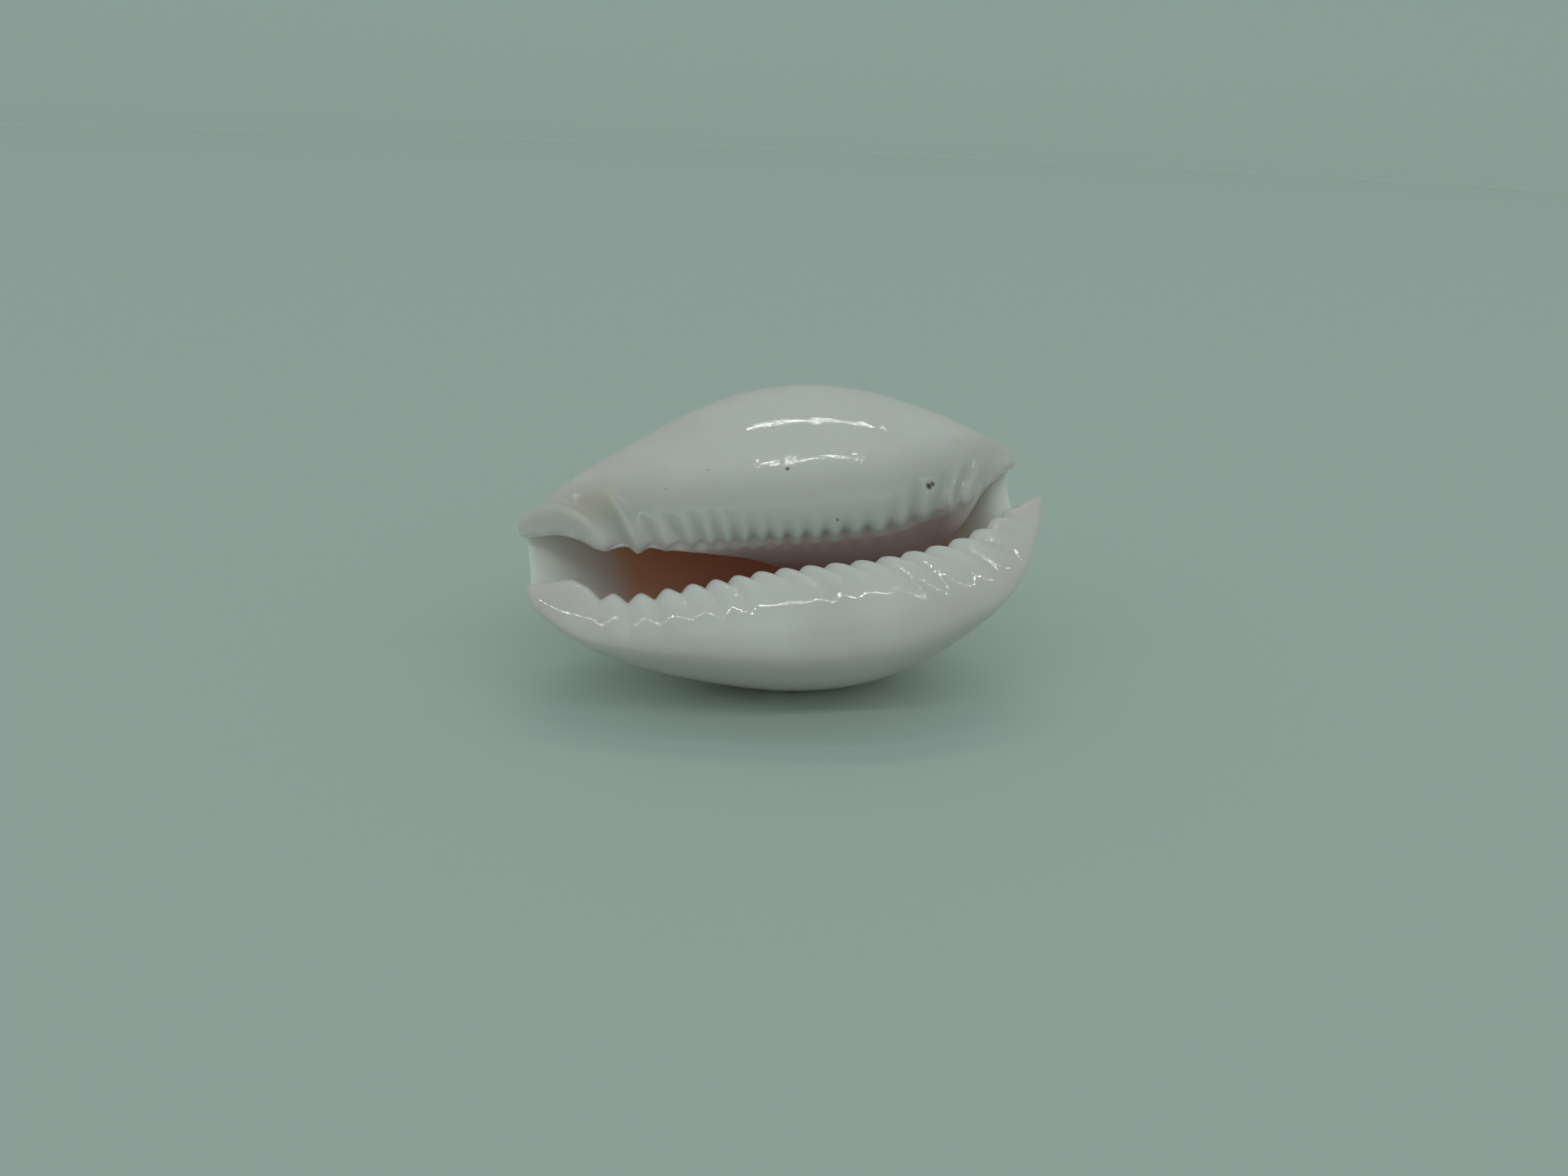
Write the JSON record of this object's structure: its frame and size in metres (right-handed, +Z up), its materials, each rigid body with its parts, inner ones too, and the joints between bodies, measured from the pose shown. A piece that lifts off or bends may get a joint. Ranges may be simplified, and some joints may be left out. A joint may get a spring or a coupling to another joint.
{
  "type": "cowrie shell",
  "caption": "Glossy white cowrie shell lying on its back, with its long toothed mouth turned up and forward.",
  "frame": {"origin": "centre of the bounding box in plan, at the level of the floor the shell rests on", "axes": "+X along the mouth to the back end of the shell, -Y the way the mouth leans, +Z up"},
  "size_m": [0.0356, 0.0214, 0.0201],
  "materials": {
    "enamel": "glossy natural shell enamel: white base, cream back with golden-brown ringed spots"
  },
  "bodies": {
    "root": {"shell": "enamel"}
  },
  "joints": []
}
